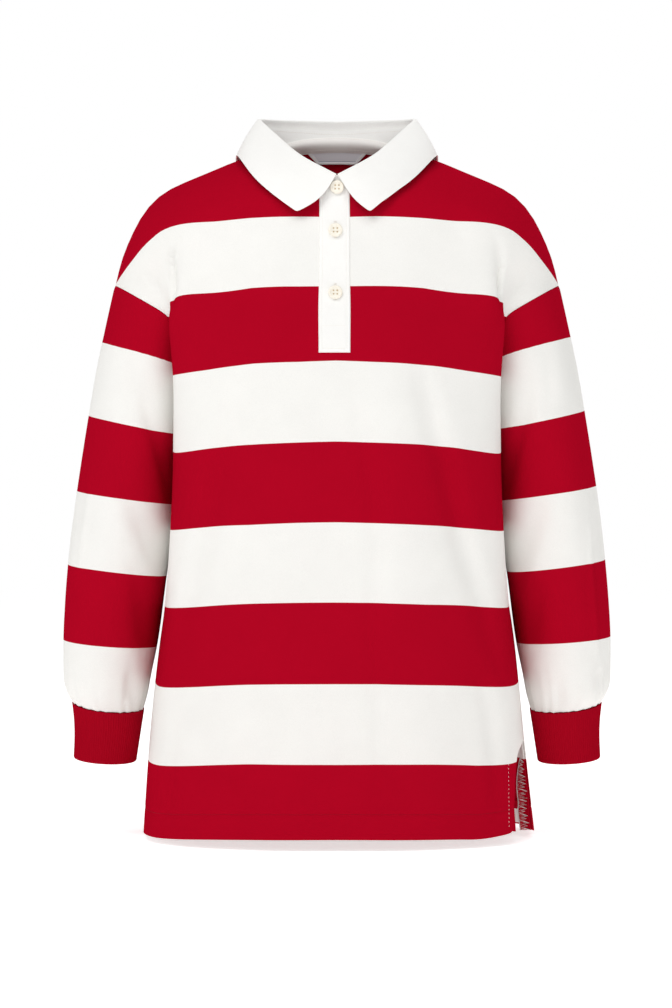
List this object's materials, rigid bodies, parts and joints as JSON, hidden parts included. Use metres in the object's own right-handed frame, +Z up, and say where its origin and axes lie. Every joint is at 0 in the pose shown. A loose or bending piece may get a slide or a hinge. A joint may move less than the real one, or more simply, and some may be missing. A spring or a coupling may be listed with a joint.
{
  "type": "sweatshirt",
  "caption": "Long-sleeved rugby-style sweatshirt, filled out as worn: wide-striped jersey, fold-over collar, half-length button placket, ribbed cuffs and side slits.",
  "frame": {"origin": "middle of the neck base, level with the high points of the shoulders, where a wearer's shoulders carry the garment", "axes": "+Z up, +X to the right of someone who looks at the front, front facing -Y"},
  "size_m": [0.582, 0.265, 0.7575],
  "materials": {
    "jersey": "matt heavy jersey in wide red and white stripes",
    "rib_knit": "matt red rib knit",
    "twill": "matt white twill",
    "label": "smooth white woven label",
    "button": "satin cream"
  },
  "bodies": {
    "root": {"front_panel": "jersey", "back_panel": "jersey", "sleeve_left": "jersey", "sleeve_right": "jersey", "cuff_left": "rib_knit", "cuff_right": "rib_knit", "collar_leaf": "twill", "collar_stand": "twill", "neck_tape": "twill", "placket_upper": "twill", "placket_under": "twill", "neck_label": "label", "button_1": "button", "button_2": "button", "button_3": "button"}
  },
  "joints": []
}
